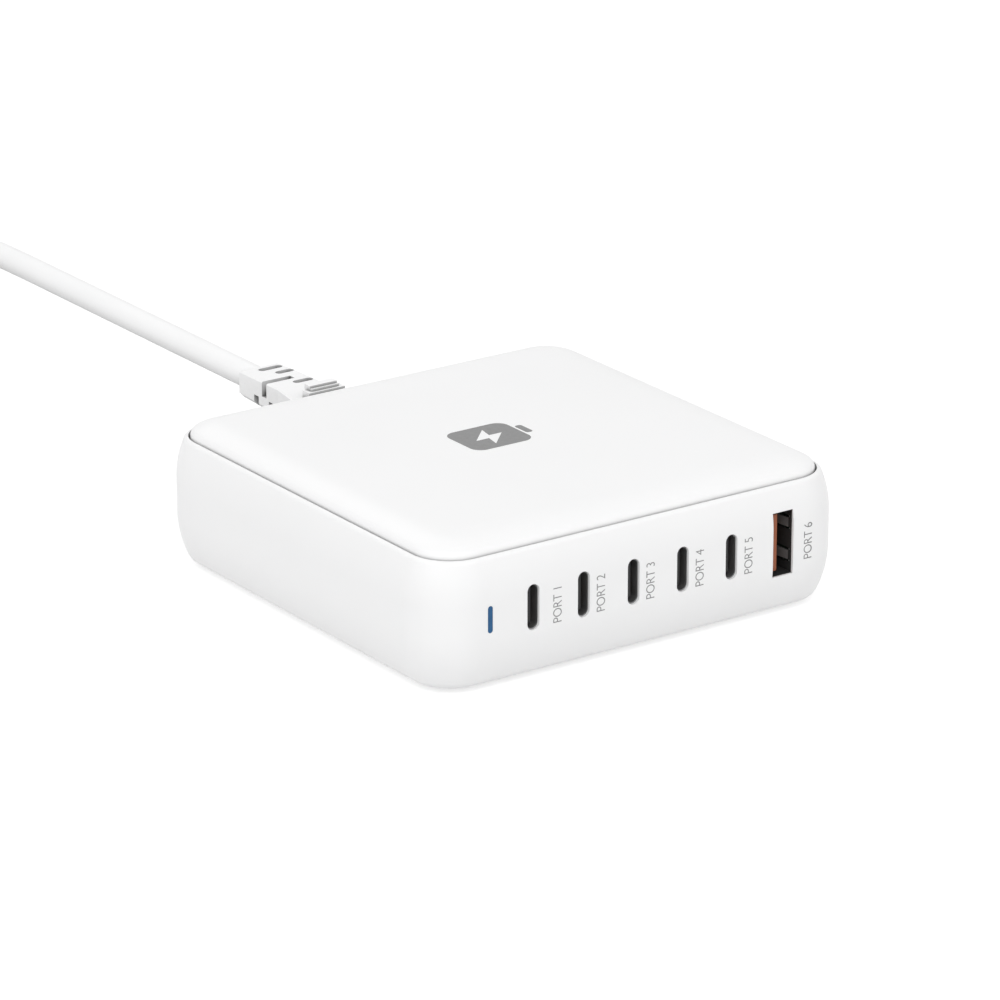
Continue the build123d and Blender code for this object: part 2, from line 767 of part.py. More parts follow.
# Heat spreaders above and below the boards, with the soft pads that carry heat to them
upper_spreader_half = inner_half - upper_spreader_margin
upper_spreader_front = magnetics_front - winding_overhang
upper_spreader_back = magnetics_front + transformer_depth + winding_overhang
with BuildPart() as upper_heat_spreader:
    with BuildSketch(Plane.YZ):
        with BuildLine():
            Polyline(
                (upper_spreader_front, upper_spreader_under - spreader_flange),
                (upper_spreader_front, upper_spreader_under + spreader_thickness),
                (upper_spreader_back, upper_spreader_under + spreader_thickness),
                (upper_spreader_back, upper_spreader_under - spreader_flange),
                (upper_spreader_back - spreader_thickness, upper_spreader_under - spreader_flange),
                (upper_spreader_back - spreader_thickness, upper_spreader_under),
                (upper_spreader_front + spreader_thickness, upper_spreader_under),
                (upper_spreader_front + spreader_thickness, upper_spreader_under - spreader_flange),
                close=True,
            )
        make_face()
    extrude(amount=upper_spreader_half, both=True)
save(upper_heat_spreader, "upper_heat_spreader")

with BuildPart() as upper_thermal_pads:
    with BuildSketch(Plane.XY.offset(board_top + core_height)):
        with Locations((transformer_x, magnetics_y)):
            Rectangle(transformer_width, transformer_depth)
        with Locations((pfc_x, magnetics_y)):
            Rectangle(pfc_width - 2 * core_leg, pfc_depth)
    extrude(amount=upper_pad_thickness)
save(upper_thermal_pads, "upper_thermal_pads")

with BuildPart() as lower_heat_spreader:
    lower_half = lower_spreader_width / 2
    with BuildSketch(Plane.XZ):
        with BuildLine():
            Polyline(
                (-lower_half, floor_top + spreader_flange),
                (-lower_half, floor_top),
                (lower_half, floor_top),
                (lower_half, floor_top + spreader_flange),
                (lower_half - spreader_thickness, floor_top + spreader_flange),
                (lower_half - spreader_thickness, floor_top + spreader_thickness),
                (-lower_half + spreader_thickness, floor_top + spreader_thickness),
                (-lower_half + spreader_thickness, floor_top + spreader_flange),
                close=True,
            )
        make_face()
    extrude(amount=lower_spreader_length / 2, both=True)
save(lower_heat_spreader, "lower_heat_spreader")

with BuildPart() as lower_thermal_pad:
    with BuildSketch(Plane.XY.offset(floor_top + spreader_thickness)):
        Rectangle(lower_pad_size, lower_pad_size)
    extrude(amount=board_standoff - spreader_thickness)
save(lower_thermal_pad, "lower_thermal_pad")

# Mains inlet: a shrouded recess through the rear wall, held by a flange inside it
recess_floor = inlet_setback + recess_depth
inlet_back = recess_floor + inlet_back_wall
pin_places = [(-pin_spacing / 2, 0), (pin_spacing / 2, 0)]
with BuildPart() as ac_inlet:
    with BuildSketch(rear_plane.offset(-inlet_setback)):
        SlotOverall(inlet_width, inlet_height)
    extrude(amount=inlet_setback - inlet_back)
    with BuildSketch(rear_plane.offset(-wall)):
        Rectangle(inlet_flange_width, inlet_flange_height)
    extrude(amount=-inlet_flange_thickness)
    with BuildSketch(rear_plane.offset(-inlet_setback)):
        SlotOverall(recess_width, recess_height)
    extrude(amount=-recess_depth, mode=Mode.SUBTRACT)
    with BuildSketch(rear_plane.offset(-recess_floor)):
        with Locations(*pin_places):
            Circle(pin_radius)
    extrude(amount=-inlet_back_wall, mode=Mode.SUBTRACT)
save(ac_inlet, "ac_inlet")

pin_tip = inlet_setback + pin_setback
with BuildPart() as inlet_pins:
    with BuildSketch(rear_plane.offset(-inlet_back)):
        with Locations(*pin_places):
            Circle(pin_radius)
    extrude(amount=inlet_back - pin_tip)
    with BuildSketch(rear_plane.offset(-inlet_back)):
        with Locations(*pin_places):
            with Locations((0, -(cord_level - board_top - pin_radius) / 2)):
                Rectangle(2 * pin_radius, cord_level - board_top + pin_radius)
    extrude(amount=-pin_tail)
save(inlet_pins, "inlet_pins")

# Connector: a nose in the inlet, a flared body and a tapered strain relief with staggered slots
nose_front = recess_floor - nose_clearance
sleeve_radius = pin_radius + sleeve_fit + sleeve_wall
sleeve_front = nose_front - sleeve_margin


def relief_section(place, half_width, half_height):
    """A cross section of the connector: crisp upper edges and bevelled lower ones."""
    with BuildSketch(rear_plane.offset(place)) as section:
        Rectangle(2 * half_width, 2 * half_height)
        chamfer(section.vertices().group_by(Axis.Y)[-1], relief_top_bevel)
        chamfer(section.vertices().group_by(Axis.Y)[0], relief_base_bevel)
    return section.sketch


connector_stations = (
    (connector_gap, connector_front_half_width, connector_front_half_height),
    (connector_head_length, connector_head_half_width, connector_front_half_height),
    connector_shoulder,
    relief_root,
    relief_waist,
    (connector_length, relief_end_half_width, relief_end_half_height),
)
with BuildPart() as cord_connector:
    loft([relief_section(*station) for station in connector_stations], ruled=True)
    with BuildSketch(rear_plane.offset(connector_gap)):
        SlotOverall(recess_width - 2 * nose_clearance, recess_height - 2 * nose_clearance)
    extrude(amount=-(connector_gap + nose_front))
    with BuildSketch(rear_plane.offset(-nose_front)):
        with Locations(*pin_places):
            Circle(sleeve_radius)
    extrude(amount=nose_front - pin_tip + sleeve_margin, mode=Mode.SUBTRACT)
    # Slots across the top, and the same across the underside
    for place, middle, length, half_height in relief_slots:
        for side in (1, -1):
            slot_level = cord_level + side * (half_height - relief_slot_depth)
            with BuildSketch(Plane.XY.offset(slot_level)):
                with Locations((middle, case_half + place)):
                    SlotOverall(length, relief_slot_width)
            extrude(amount=side * 2 * relief_slot_depth, mode=Mode.SUBTRACT)
    # A slot that runs from the top over one edge and down that side
    with BuildSketch(rear_plane.offset(wrap_slot_place - relief_slot_width / 2)):
        with Locations((wrap_slot_end, wrap_slot_foot)):
            Rectangle(2 * wrap_half_width, 2 * wrap_half_height, align=(Align.MIN, Align.MIN))
        with BuildSketch(mode=Mode.PRIVATE) as wrap_core:
            Rectangle(2 * (wrap_half_width - relief_slot_depth), 2 * (wrap_half_height - relief_slot_depth))
            fillet(wrap_core.vertices().group_by(Axis.Y)[-1], wrap_round)
        add(wrap_core.sketch, mode=Mode.SUBTRACT)
    extrude(amount=relief_slot_width, mode=Mode.SUBTRACT)
    # Slots low on both sides, running round the lower edges
    waist_half_width = relief_waist[1]
    for side in (-1, 1):
        with BuildSketch(Plane.YZ.offset(side * (waist_half_width - relief_slot_depth))):
            for place in side_slot_places:
                with Locations((case_half + place, cord_level + side_slot_top)):
                    Rectangle(relief_slot_width, 2 * relief_end_half_height, align=(Align.CENTER, Align.MAX))
        extrude(amount=side * 2 * relief_slot_depth, mode=Mode.SUBTRACT)
    # Thumb grip: a stepped pad whose ridges face the case
    grip_top = cord_level + grip_rise
    grip_base_top = grip_top - (ridge_count - 1) * ridge_drop
    with BuildSketch(Plane.YZ):
        with BuildLine():
            ridge_line = [(case_half + grip_back, cord_level), (case_half + grip_back, grip_top)]
            for ridge in range(ridge_count):
                ridge_y = case_half + grip_front + (ridge_count - 1 - ridge) * ridge_run
                ridge_line.append((ridge_y, grip_top - ridge * ridge_drop))
                ridge_line.append((ridge_y, grip_top - (ridge + 1) * ridge_drop))
            ridge_line.append((case_half + grip_front, cord_level))
            Polyline(*ridge_line, close=True)
        make_face()
    extrude(amount=grip_half_width, both=True)
    with BuildSketch(Plane.XY.offset(cord_level)):
        with Locations((0, case_half + (grip_front + grip_base_back) / 2)):
            Rectangle(2 * grip_base_half_width, grip_base_back - grip_front)
    extrude(amount=grip_base_top - cord_level)
save(cord_connector, "cord_connector")

with BuildPart() as connector_contacts:
    with BuildSketch(rear_plane.offset(-sleeve_front)):
        with Locations(*pin_places):
            Circle(sleeve_radius)
            Circle(pin_radius + sleeve_fit, mode=Mode.SUBTRACT)
    extrude(amount=sleeve_front - pin_tip)
save(connector_contacts, "connector_contacts")


def bend_radii(points):
    """The largest arc that each corner of a cord's route has room for."""
    radii = []
    for before, corner, after in zip(points, points[1:], points[2:]):
        run_in = Vector(corner) - Vector(before)
        run_out = Vector(after) - Vector(corner)
        half_turn = radians(run_in.get_angle(run_out)) / 2
        radii.append(bend_share * min(run_in.length, run_out.length) / tan(half_turn))
    return radii


def cord_tube(name, points):
    """A round tube along straight runs joined by tangent arcs."""
    radii = bend_radii(points)
    with BuildPart() as tube:
        with BuildLine() as route:
            FilletPolyline(*points, radius=radii)
        start = route.wire()
        with BuildSketch(Plane(start @ 0, z_dir=start % 0)):
            Circle(cord_radius)
        sweep()
    ideal = Face(Wire.make_circle(cord_radius)).area * start.length
    print(name, "radii", [round(r) for r in radii], "length", round(start.length, 1))
    print(name, "volume share", round(tube.part.volume / ideal, 4))
    save(tube, name)


# Cord behind the connector: level, then down to the table and over to the coil
cord_start = (0, case_half + connector_length, cord_level)
cord_level_end = (0, case_half + connector_length + cord_clear_run, cord_level)
coil_entry = (coil_outer_turn, coil_y, cord_radius)
cord_tube("power_cord", [cord_start, cord_level_end, *cord_route, coil_entry])

# Coil: the outer form of its turns, cut square where the cord goes in and comes out
coil_outer = coil_outer_turn + cord_radius
coil_inner = coil_inner_turn - cord_radius
coil_height = coil_layers * cord_diameter
coil_middle = (coil_outer + coil_inner) / 2
coil_width = coil_outer - coil_inner
waist_width = coil_width - 2 * (tie_pinch + tie_thickness)
waist_height = coil_height - 2 * tie_thickness
with BuildPart() as cord_coil:
    with BuildSketch(Plane((0, coil_y, 0), x_dir=(0, 1, 0), z_dir=(1, 0, 0))):
        with Locations((coil_middle, coil_height / 2)):
            Rectangle(coil_width, coil_height)
    revolve(axis=Axis((0, coil_y, 0), (0, 0, 1)))
    with BuildSketch():
        for side in (-1, 1):
            with Locations((side * coil_outer_turn, coil_y - coil_outer_turn / 2)):
                Rectangle(cord_diameter + 2 * coil_notch_clearance, coil_outer_turn)
    extrude(amount=coil_height, mode=Mode.SUBTRACT)
    # The waist that the tie draws in
    with BuildSketch(Plane.YZ):
        with Locations((coil_y + coil_middle, coil_height / 2)):
            Rectangle(coil_width + tie_width, coil_height)
            Rectangle(waist_width, waist_height, mode=Mode.SUBTRACT)
    extrude(amount=tie_width / 2, both=True, mode=Mode.SUBTRACT)
save(cord_coil, "cord_coil")

with BuildPart() as coil_tie:
    with BuildSketch(Plane.YZ):
        with Locations((coil_y + coil_middle, coil_height / 2)):
            Rectangle(coil_width - 2 * tie_pinch, coil_height)
            Rectangle(waist_width, waist_height, mode=Mode.SUBTRACT)
    extrude(amount=tie_width / 2, both=True)
save(coil_tie, "coil_tie")

# Tail of the cord, from the coil's upper layer to the plug
coil_exit = (-coil_outer_turn, coil_y, coil_height - cord_radius)
tail_tip = (*tail_end, plug_thickness / 2)
cord_tube("cord_tail", [coil_exit, *tail_route, tail_tip])

# Plug: a moulded body that lies flat on the table, with a ribbed relief and two blades
plug_plane = Plane((*tail_end, plug_thickness / 2), x_dir=(1, 0, 0), z_dir=(0, -1, 0))
plug_face = plug_relief_length + plug_shoulder + plug_length
with BuildPart() as mains_plug:
    with BuildSketch(plug_plane) as relief_tip:
        Rectangle(plug_relief_tip, plug_relief_tip)
        chamfer(relief_tip.vertices(), plug_relief_bevel)
    with BuildSketch(plug_plane.offset(plug_relief_length)) as relief_root:
        Rectangle(plug_relief_size, plug_relief_size)
        chamfer(relief_root.vertices(), plug_relief_bevel)
    loft(ruled=True)
    with BuildSketch(plug_plane.offset(plug_relief_length)):
        RectangleRounded(plug_width - plug_shoulder, plug_thickness - plug_corner, plug_corner)
    with BuildSketch(plug_plane.offset(plug_relief_length + plug_shoulder)):
        RectangleRounded(plug_width, plug_thickness, plug_corner)
    loft(ruled=True)
    with BuildSketch(plug_plane.offset(plug_relief_length + plug_shoulder)):
        RectangleRounded(plug_width, plug_thickness, plug_corner)
    extrude(amount=plug_length)
    groove_pitch = plug_relief_length / (plug_groove_count + 1)
    relief_taper = (plug_relief_size - plug_relief_tip) / plug_relief_length
    for groove in range(1, plug_groove_count + 1):
        groove_place = groove * groove_pitch - plug_groove_width / 2
        groove_core = plug_relief_tip + relief_taper * groove_place - 2 * plug_groove_depth
        with BuildSketch(plug_plane.offset(groove_place)):
            Rectangle(plug_relief_size, plug_relief_size)
            Rectangle(plug_relief_size, groove_core, mode=Mode.SUBTRACT)
        extrude(amount=plug_groove_width, mode=Mode.SUBTRACT)
save(mains_plug, "mains_plug")

with BuildPart() as plug_blades:
    with BuildSketch(plug_plane.offset(plug_face)):
        with GridLocations(blade_spacing, 1, 2, 1):
            Rectangle(blade_thickness, blade_width)
    extrude(amount=blade_length)
    tips = plug_blades.faces().sort_by(Axis.Y)[:2]
    chamfer(tips.edges().filter_by(Axis.X), blade_chamfer)
    with BuildSketch(Plane.YZ.offset(tail_end[0])):
        with Locations((tail_end[1] - plug_face - blade_length + blade_hole_inset, plug_thickness / 2)):
            Circle(blade_hole_radius)
    extrude(amount=blade_spacing, both=True, mode=Mode.SUBTRACT)
save(plug_blades, "plug_blades")
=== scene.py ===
import json
import math

import bpy
from mathutils import Matrix, Vector


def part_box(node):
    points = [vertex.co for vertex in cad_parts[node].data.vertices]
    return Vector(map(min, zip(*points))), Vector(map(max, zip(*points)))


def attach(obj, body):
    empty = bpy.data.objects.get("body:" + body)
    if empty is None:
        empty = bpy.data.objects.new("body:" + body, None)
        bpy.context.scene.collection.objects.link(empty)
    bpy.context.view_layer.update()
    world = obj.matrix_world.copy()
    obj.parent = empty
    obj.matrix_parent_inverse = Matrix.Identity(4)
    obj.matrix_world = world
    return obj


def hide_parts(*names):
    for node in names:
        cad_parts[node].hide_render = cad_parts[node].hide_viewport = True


# The looks of a white desktop charger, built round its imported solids. Metres, +Z up, ports facing -Y.
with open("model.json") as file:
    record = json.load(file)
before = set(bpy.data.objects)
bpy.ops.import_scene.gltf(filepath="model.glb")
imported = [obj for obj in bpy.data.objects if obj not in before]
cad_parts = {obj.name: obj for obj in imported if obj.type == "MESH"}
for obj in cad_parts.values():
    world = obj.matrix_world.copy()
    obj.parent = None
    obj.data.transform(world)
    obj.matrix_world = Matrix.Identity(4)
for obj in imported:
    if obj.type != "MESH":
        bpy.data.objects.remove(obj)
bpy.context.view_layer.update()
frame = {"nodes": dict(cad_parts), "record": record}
nodes = frame["nodes"]
scene = bpy.context.scene
scene.view_settings.view_transform = "Standard"
MM = 0.001

# Camera at the photograph's view
CAMERA_TARGET = Vector((0.0, 0.0, 15.81)) * MM
CAMERA_DISTANCE = 1040.4 * MM
CAMERA_AZIMUTH = math.radians(-35.0)
CAMERA_ELEVATION = math.radians(20.0)
CAMERA_LENS = 199.0
CAMERA_NEAR = 0.05
CAMERA_FAR = 20.0


def direction(azimuth, elevation):
    """The way from the object to something that far round and up, in radians."""
    level = math.cos(elevation)
    return Vector((math.sin(azimuth) * level, -math.cos(azimuth) * level, math.sin(elevation)))


def make_camera():
    """The long-lens view from above the front left corner."""
    data = bpy.data.cameras.new("camera")
    data.lens = CAMERA_LENS
    data.clip_start = CAMERA_NEAR
    data.clip_end = CAMERA_FAR
    camera = bpy.data.objects.new("camera", data)
    scene.collection.objects.link(camera)
    away = direction(CAMERA_AZIMUTH, CAMERA_ELEVATION)
    camera.location = CAMERA_TARGET + away * CAMERA_DISTANCE
    camera.rotation_euler = away.to_track_quat("Z", "Y").to_euler()
    scene.camera = camera


make_camera()

# Mains cord: its route's points in millimetres, from the connector to the coil and on to the plug
CORD_DIAMETER = 5.4
CORD_START = (0.0, 84.0, 16.23)
CORD_ROUTE = (
    CORD_START,
    (0.0, 153.8, 16.23),
    (0.0, 188.0, 16.23),
    (2.5, 222.0, 13.2),
    (12.5, 250.0, 7.4),
    (27.5, 274.0, 3.6),
    (39.2, 301.0, 2.7),
)
CORD_TAIL = (
    (-39.2, 313.0, 8.1),
    (-36.4, 295.0, 6.5),
    (-36.4, 278.0, 6.5),
)
COIL_CENTRE_Y = 330.0
COIL_OUTER_TURN = 39.2
COIL_INNER_TURN = 21.65
COIL_TURNS = 6.5
COIL_POINTS_A_TURN = 16
COIL_LOWER_LEVEL = 2.7
COIL_UPPER_LEVEL = 8.1
COIL_CLIMB_TURNS = 0.5
CORD_ROUND_STEPS = 6


def coil_points():
    """Turns that wind in along the table and out again on top of themselves."""
    half = COIL_TURNS / 2
    swell = 1 / math.cos(math.pi / COIL_POINTS_A_TURN)
    points = []
    for step in range(int(COIL_TURNS * COIL_POINTS_A_TURN) + 1):
        turn = step / COIL_POINTS_A_TURN
        way_out = abs(turn - half) / half
        radius = swell * (COIL_INNER_TURN + (COIL_OUTER_TURN - COIL_INNER_TURN) * way_out)
        climb = min(max((turn - half) / COIL_CLIMB_TURNS + 0.5, 0.0), 1.0)
        level = COIL_LOWER_LEVEL + (COIL_UPPER_LEVEL - COIL_LOWER_LEVEL) * climb
        angle = 2 * math.pi * turn
        points.append((radius * math.cos(angle), COIL_CENTRE_Y + radius * math.sin(angle), level))
    return points


def make_cord():
    """One smooth line from the connector through the coil to the plug, as thick as its points' radius."""
    points = [*CORD_ROUTE, *coil_points(), *CORD_TAIL]
    curve = bpy.data.curves.new("mains_cord", "CURVE")
    curve.dimensions = "3D"
    curve.bevel_depth = 1.0
    curve.bevel_resolution = CORD_ROUND_STEPS
    curve.resolution_u = CORD_ROUND_STEPS
    curve.use_fill_caps = True
    spline = curve.splines.new("NURBS")
    spline.points.add(len(points) - 1)
    for place, point in zip(spline.points, points):
        place.co = (*(Vector(point) * MM), 1.0)
        place.radius = CORD_DIAMETER / 2 * MM
    spline.order_u = 3
    spline.use_endpoint_u = True
    cord = bpy.data.objects.new("mains_cord", curve)
    scene.collection.objects.link(cord)
    return cord


cord = make_cord()
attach(cord, "root")
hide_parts("power_cord", "cord_coil", "cord_tail")


# Materials: the usual span of noise, and how open a place is where its painted shade is deepest and where
# it ends
NOISE_LOW = 0.3
NOISE_HIGH = 0.7
OPEN_LOW = 0.3
OPEN_HIGH = 0.85
PAINTED_SHADE_SAMPLES = 8
EDGE_SAMPLES = 6
GLOSS_CHANGE = 0.08
GRAIN_DETAIL = 4.0


def new_material(name):
    """A material's tree and its shader."""
    material = bpy.data.materials.new(name)
    material.use_nodes = True
    tree = material.node_tree
    shader = tree.nodes["Principled BSDF"]
    return material, tree, shader


def noise(tree, size_mm, detail=2.0):
    """Noise whose features have about that size on the object."""
    place = tree.nodes.new("ShaderNodeTexCoord")
    texture = tree.nodes.new("ShaderNodeTexNoise")
    texture.inputs["Scale"].default_value = 1.0 / (size_mm * MM)
    texture.inputs["Detail"].default_value = detail
    tree.links.new(place.outputs["Object"], texture.inputs["Vector"])
    return texture.outputs["Fac"]


def spread(tree, value, low, high):
    """That value's usual span, brought to low and high."""
    remap = tree.nodes.new("ShaderNodeMapRange")
    remap.inputs["From Min"].default_value = NOISE_LOW
    remap.inputs["From Max"].default_value = NOISE_HIGH
    remap.inputs["To Min"].default_value = low
    remap.inputs["To Max"].default_value = high
    tree.links.new(value, remap.inputs["Value"])
    return remap.outputs["Result"]


def blend_colours(tree, value, first, second):
    """A colour that goes from the first to the second with that value."""
    mix = tree.nodes.new("ShaderNodeMix")
    mix.data_type = "RGBA"
    mix.inputs["A"].default_value = (*first, 1.0)
    mix.inputs["B"].default_value = (*second, 1.0)
    tree.links.new(value, mix.inputs["Factor"])
    return mix.outputs["Result"]


def shade(colour, factor):
    """The same colour, a little lighter or darker."""
    return tuple(min(1.0, channel * factor) for channel in colour)


def paint_shade_near_surfaces(tree, tone, reach_mm, depth):
    """The same tone with shade painted in: darker where other surfaces stand close by, as in seams and
    slots.
    """
    openness = tree.nodes.new("ShaderNodeAmbientOcclusion")
    openness.samples = PAINTED_SHADE_SAMPLES
    openness.inputs["Distance"].default_value = reach_mm * MM
    shadow = tree.nodes.new("ShaderNodeMapRange")
    shadow.inputs["From Min"].default_value = OPEN_LOW
    shadow.inputs["From Max"].default_value = OPEN_HIGH
    shadow.inputs["To Min"].default_value = 1.0 - depth
    shadow.inputs["To Max"].default_value = 1.0
    tree.links.new(openness.outputs["AO"], shadow.inputs["Value"])
    darken = tree.nodes.new("ShaderNodeVectorMath")
    darken.operation = "SCALE"
    tree.links.new(tone, darken.inputs[0])
    tree.links.new(shadow.outputs["Result"], darken.inputs["Scale"])
    return darken.outputs["Vector"]


def finish_surface(
    name,
    colour,
    rough,
    metallic=0.0,
    mottle=0.03,
    patch_mm=12.0,
    grain_mm=0.25,
    grain_depth=0.004,
    edge_mm=0.0,
    crevices=(),
):
    """A surface with patches of slightly different tone and gloss, a fine grain, softened edges, and shade
    painted into its tone where other surfaces stand close by.
    """
    material, tree, shader = new_material(name)
    patches = spread(tree, noise(tree, patch_mm), 0.0, 1.0)
    tone = blend_colours(tree, patches, shade(colour, 1.0 - mottle), shade(colour, 1.0 + mottle))
    # Painted shade: each reach and depth darkens the base colour where the surface is hemmed in
    for reach_mm, depth in crevices:
        tone = paint_shade_near_surfaces(tree, tone, reach_mm, depth)
    tree.links.new(tone, shader.inputs["Base Color"])
    gloss = spread(tree, noise(tree, patch_mm / 4), rough * (1 - GLOSS_CHANGE), rough * (1 + GLOSS_CHANGE))
    tree.links.new(gloss, shader.inputs["Roughness"])
    shader.inputs["Metallic"].default_value = metallic
    bump = tree.nodes.new("ShaderNodeBump")
    bump.inputs["Strength"].default_value = 1.0
    bump.inputs["Distance"].default_value = grain_depth * MM
    tree.links.new(noise(tree, grain_mm, detail=GRAIN_DETAIL), bump.inputs["Height"])
    if edge_mm:
        edge = tree.nodes.new("ShaderNodeBevel")
        edge.samples = EDGE_SAMPLES
        edge.inputs["Radius"].default_value = edge_mm * MM
        tree.links.new(edge.outputs["Normal"], bump.inputs["Normal"])
    tree.links.new(bump.outputs["Normal"], shader.inputs["Normal"])
    return material


CASE_WHITE = (0.9, 0.9, 0.902)
CORD_WHITE = (0.93, 0.93, 0.932)
PRINT_GREY = (0.235, 0.235, 0.235)

# Moulded whites: patches, grain and softened edges in millimetres, and the reach and depth of each painted
# shade, which darkens the case's seam, the connector's slots and the undersides of cord and connector
moulded = {
    "case_plastic": dict(
        colour=CASE_WHITE,
        rough=0.38,
        mottle=0.006,
        patch_mm=30.0,
        grain_mm=0.3,
        grain_depth=0.0012,
        edge_mm=0.12,
        crevices=((0.8, 0.32),),
    ),
    "cord_plastic": dict(
        colour=CORD_WHITE,
        rough=0.45,
        mottle=0.008,
        patch_mm=20.0,
        grain_mm=0.35,
        grain_depth=0.002,
        edge_mm=0.1,
        crevices=((40.0, 0.38),),
    ),
}
# The connector takes a deeper painted shade in its slots and on its underside
moulded["connector_plastic"] = moulded["cord_plastic"] | dict(
    edge_mm=0.06,
    crevices=((40.0, 0.45), (1.4, 0.85)),
)

# The other surfaces, most of them inside the case
surfaces = {
    "foot_rubber": dict(colour=(0.45, 0.45, 0.46), rough=0.8, grain_depth=0.02),
    "shell_steel": dict(colour=(0.3, 0.3, 0.304), rough=0.42, metallic=0.8, grain_depth=0.002),
    "tongue_black": dict(colour=(0.022, 0.022, 0.0225), rough=0.5),
    "tongue_orange": dict(colour=(0.32, 0.095, 0.036), rough=0.5),
    "contact_gold": dict(colour=(0.8, 0.58, 0.22), rough=0.28, metallic=1.0, grain_depth=0.001),
    "light_emitter": dict(colour=(0.85, 0.88, 0.9), rough=0.3),
    "circuit_board": dict(colour=(0.004, 0.02, 0.01), rough=0.5, mottle=0.12, patch_mm=4.0),
    "inductor_grey": dict(colour=(0.12, 0.12, 0.125), rough=0.7, mottle=0.1, grain_depth=0.01),
    "capacitor_sleeve": dict(colour=(0.03, 0.035, 0.07), rough=0.25),
    "ferrite": dict(colour=(0.05, 0.05, 0.052), rough=0.6, mottle=0.15, grain_depth=0.008),
    "winding": dict(colour=(0.75, 0.55, 0.1), rough=0.35, mottle=0.06),
    "sink_aluminium": dict(colour=(0.78, 0.79, 0.8), rough=0.35, metallic=1.0, grain_depth=0.003),
    "thermal_pad": dict(colour=(0.42, 0.48, 0.6), rough=0.75, mottle=0.08, grain_depth=0.01),
    "part_black": dict(colour=(0.03, 0.03, 0.031), rough=0.5),
    "film_yellow": dict(colour=(0.75, 0.52, 0.04), rough=0.35),
    "tie_strap": dict(colour=(0.8, 0.8, 0.8), rough=0.6, grain_depth=0.01),
    "blade_metal": dict(colour=(0.75, 0.73, 0.68), rough=0.25, metallic=1.0, grain_depth=0.002),
    "print_grey": dict(colour=PRINT_GREY, rough=0.55, mottle=0.05, patch_mm=1.0, grain_depth=0.001),
}
materials = {name: finish_surface(name, **look) for name, look in (moulded | surfaces).items()}

# Status light: its two tints and the size of the patches that they make
LIGHT_TINTS = ((0.012, 0.075, 0.185), (0.018, 0.09, 0.21))
LIGHT_PATCH = 1.5
LIGHT_GLOW = 0.2
LIGHT_ROUGH = 0.3
LIGHT_SPECULAR = 0.3


def lit_bar():
    """The status light: a tinted clear bar with a soft glow of its own."""
    material, tree, shader = new_material("light_bar")
    patches = spread(tree, noise(tree, LIGHT_PATCH), 0.0, 1.0)
    tint = blend_colours(tree, patches, *LIGHT_TINTS)
    tree.links.new(tint, shader.inputs["Base Color"])
    tree.links.new(tint, shader.inputs["Emission Color"])
    shader.inputs["Emission Strength"].default_value = LIGHT_GLOW
    shader.inputs["Roughness"].default_value = LIGHT_ROUGH
    shader.inputs["Specular IOR Level"].default_value = LIGHT_SPECULAR
    return material


def box_middle(node):
    """The middle of a node's box, in millimetres."""
    low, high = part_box(node)
    return (Vector(low) + Vector(high)) / 2 / MM


# Sprung fingers of the large port: how far they lie in from the shell's right face, and how far up and
# down. The rest of the shell takes a painted shade.
FINGER_NEAR = 0.34
FINGER_FAR = 1.76
FINGER_LEVELS = 5.0
PAINTED_SHADE_STEEL = (0.07, 0.07, 0.071)
FINGER_STEEL = (0.3, 0.3, 0.304)
STEEL_PATCH = 1.0
STEEL_ROUGH = (0.38, 0.46)
STEEL_METALLIC = 0.6


def within(tree, value, middle, reach):
    """One where that value lies that near to the middle, and nought elsewhere."""
    compare = tree.nodes.new("ShaderNodeMath")
    compare.operation = "COMPARE"
    compare.inputs[1].default_value = middle * MM
    compare.inputs[2].default_value = reach * MM
    tree.links.new(value, compare.inputs[0])
    return compare.outputs["Value"]


def sprung_steel():
    """The large port's shell: painted shade over its inside, with the sprung fingers on its right wall left
    in the steel's own brighter tone.
    """
    material, tree, shader = new_material("sprung_steel")
    place = tree.nodes.new("ShaderNodeNewGeometry")
    axes = tree.nodes.new("ShaderNodeSeparateXYZ")
    tree.links.new(place.outputs["Position"], axes.inputs["Vector"])
    right_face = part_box("usb_a_shell")[1][0] / MM
    across = right_face - (FINGER_NEAR + FINGER_FAR) / 2
    finger = tree.nodes.new("ShaderNodeMath")
    finger.operation = "MULTIPLY"
    in_depth = within(tree, axes.outputs["X"], across, (FINGER_FAR - FINGER_NEAR) / 2)
    in_level = within(tree, axes.outputs["Z"], box_middle("usb_a_shell").z, FINGER_LEVELS)
    tree.links.new(in_depth, finger.inputs[0])
    tree.links.new(in_level, finger.inputs[1])
    # Painted shade over the shell, and the steel's own tone on the fingers
    tone = blend_colours(tree, finger.outputs["Value"], PAINTED_SHADE_STEEL, FINGER_STEEL)
    tree.links.new(tone, shader.inputs["Base Color"])
    tree.links.new(spread(tree, noise(tree, STEEL_PATCH), *STEEL_ROUGH), shader.inputs["Roughness"])
    shader.inputs["Metallic"].default_value = STEEL_METALLIC
    return material


# Each node takes the finish of its slot, apart from two with a finish of their own
materials["light_bar"] = lit_bar()
materials["sprung_steel"] = sprung_steel()
finish_of = {"usb_a_shell": "sprung_steel", "cord_connector": "connector_plastic"}
for subpart in frame["record"]["subparts"]:
    node = nodes[subpart["node"]]
    node.data.materials.clear()
    finish = finish_of.get(subpart["node"], subpart["material_slot"])
    node.data.materials.append(materials[finish])
cord.data.materials.append(materials["cord_plastic"])


# Printed port labels on the front wall, reading upward. Capitals take that share of a font's size.
LABEL_CAP = 1.93
CAP_SHARE = 0.7
LABEL_FONT_SIZE = LABEL_CAP / CAP_SHARE
LABEL_SPACING = 0.94
LABEL_SQUEEZE = 0.84
LABEL_LEVEL = 14.15
LABEL_THIN = -0.03
PRINT_RISE = 0.02
USB_C_OFFSETS = (5.4, 3.9, 3.9, 3.95, 4.05)
USB_A_OFFSET = 5.86


